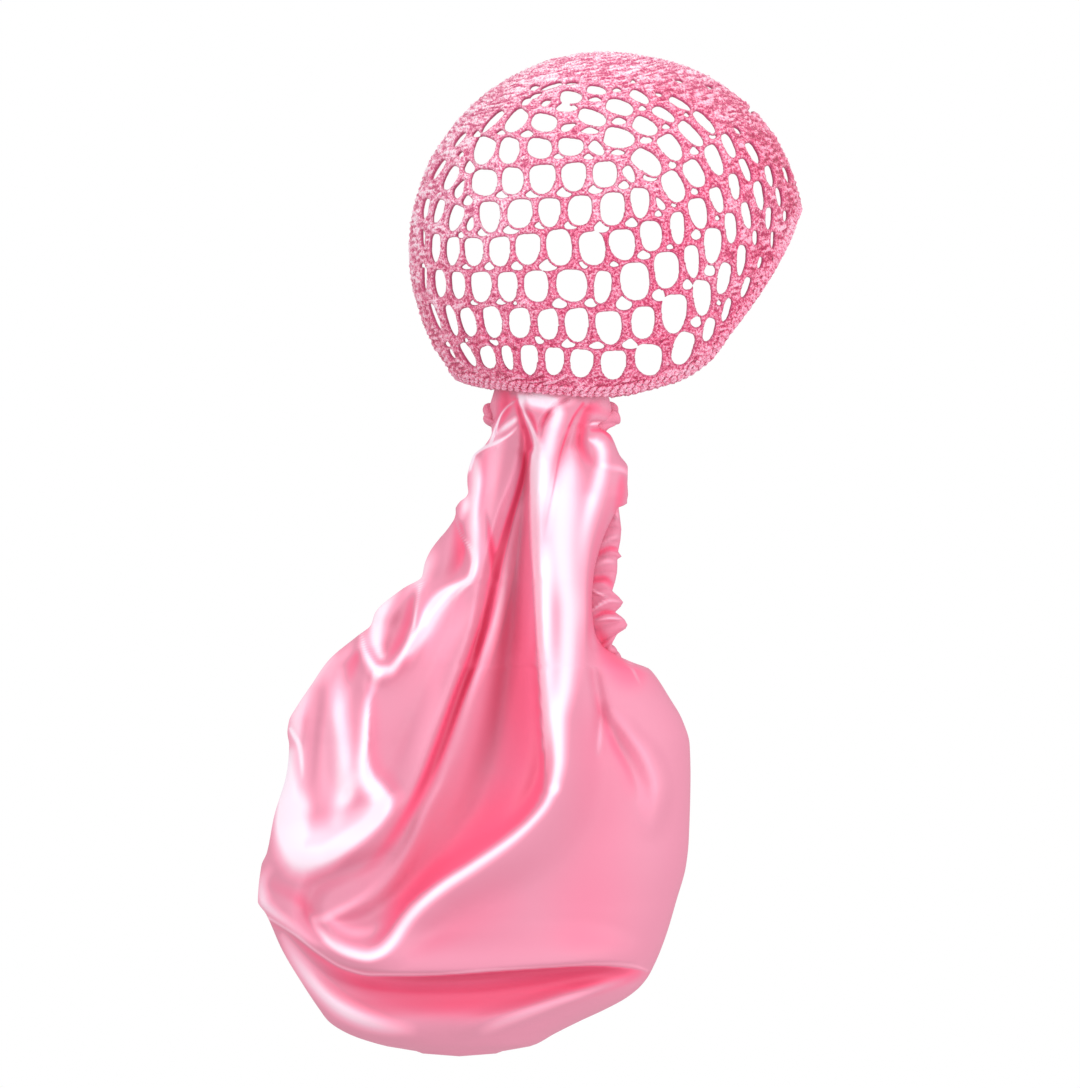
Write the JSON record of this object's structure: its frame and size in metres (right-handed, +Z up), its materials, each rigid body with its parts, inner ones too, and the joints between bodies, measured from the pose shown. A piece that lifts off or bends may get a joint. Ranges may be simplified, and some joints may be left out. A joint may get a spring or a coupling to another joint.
{
  "type": "crocheted net sleep bonnet with a satin hair bag",
  "caption": "Crocheted open-net sleep cap in its worn form, with a gathered satin hair bag hanging from its rim.",
  "frame": {"origin": "top of the head inside the net crown, where a head holds the bonnet up", "axes": "+Z up, +X towards the forehead side of the rim, -Y towards the side whose rim carries the satin bag"},
  "size_m": [0.3033, 0.2029, 0.5615],
  "materials": {
    "yarn": "soft chenille crochet yarn, rose pink",
    "satin": "pink polyester satin with a bright sheen"
  },
  "bodies": {
    "root": {"net_crown": "yarn", "rim_band": "yarn", "satin_bag": "satin", "mouth_elastic": "satin"}
  },
  "joints": []
}
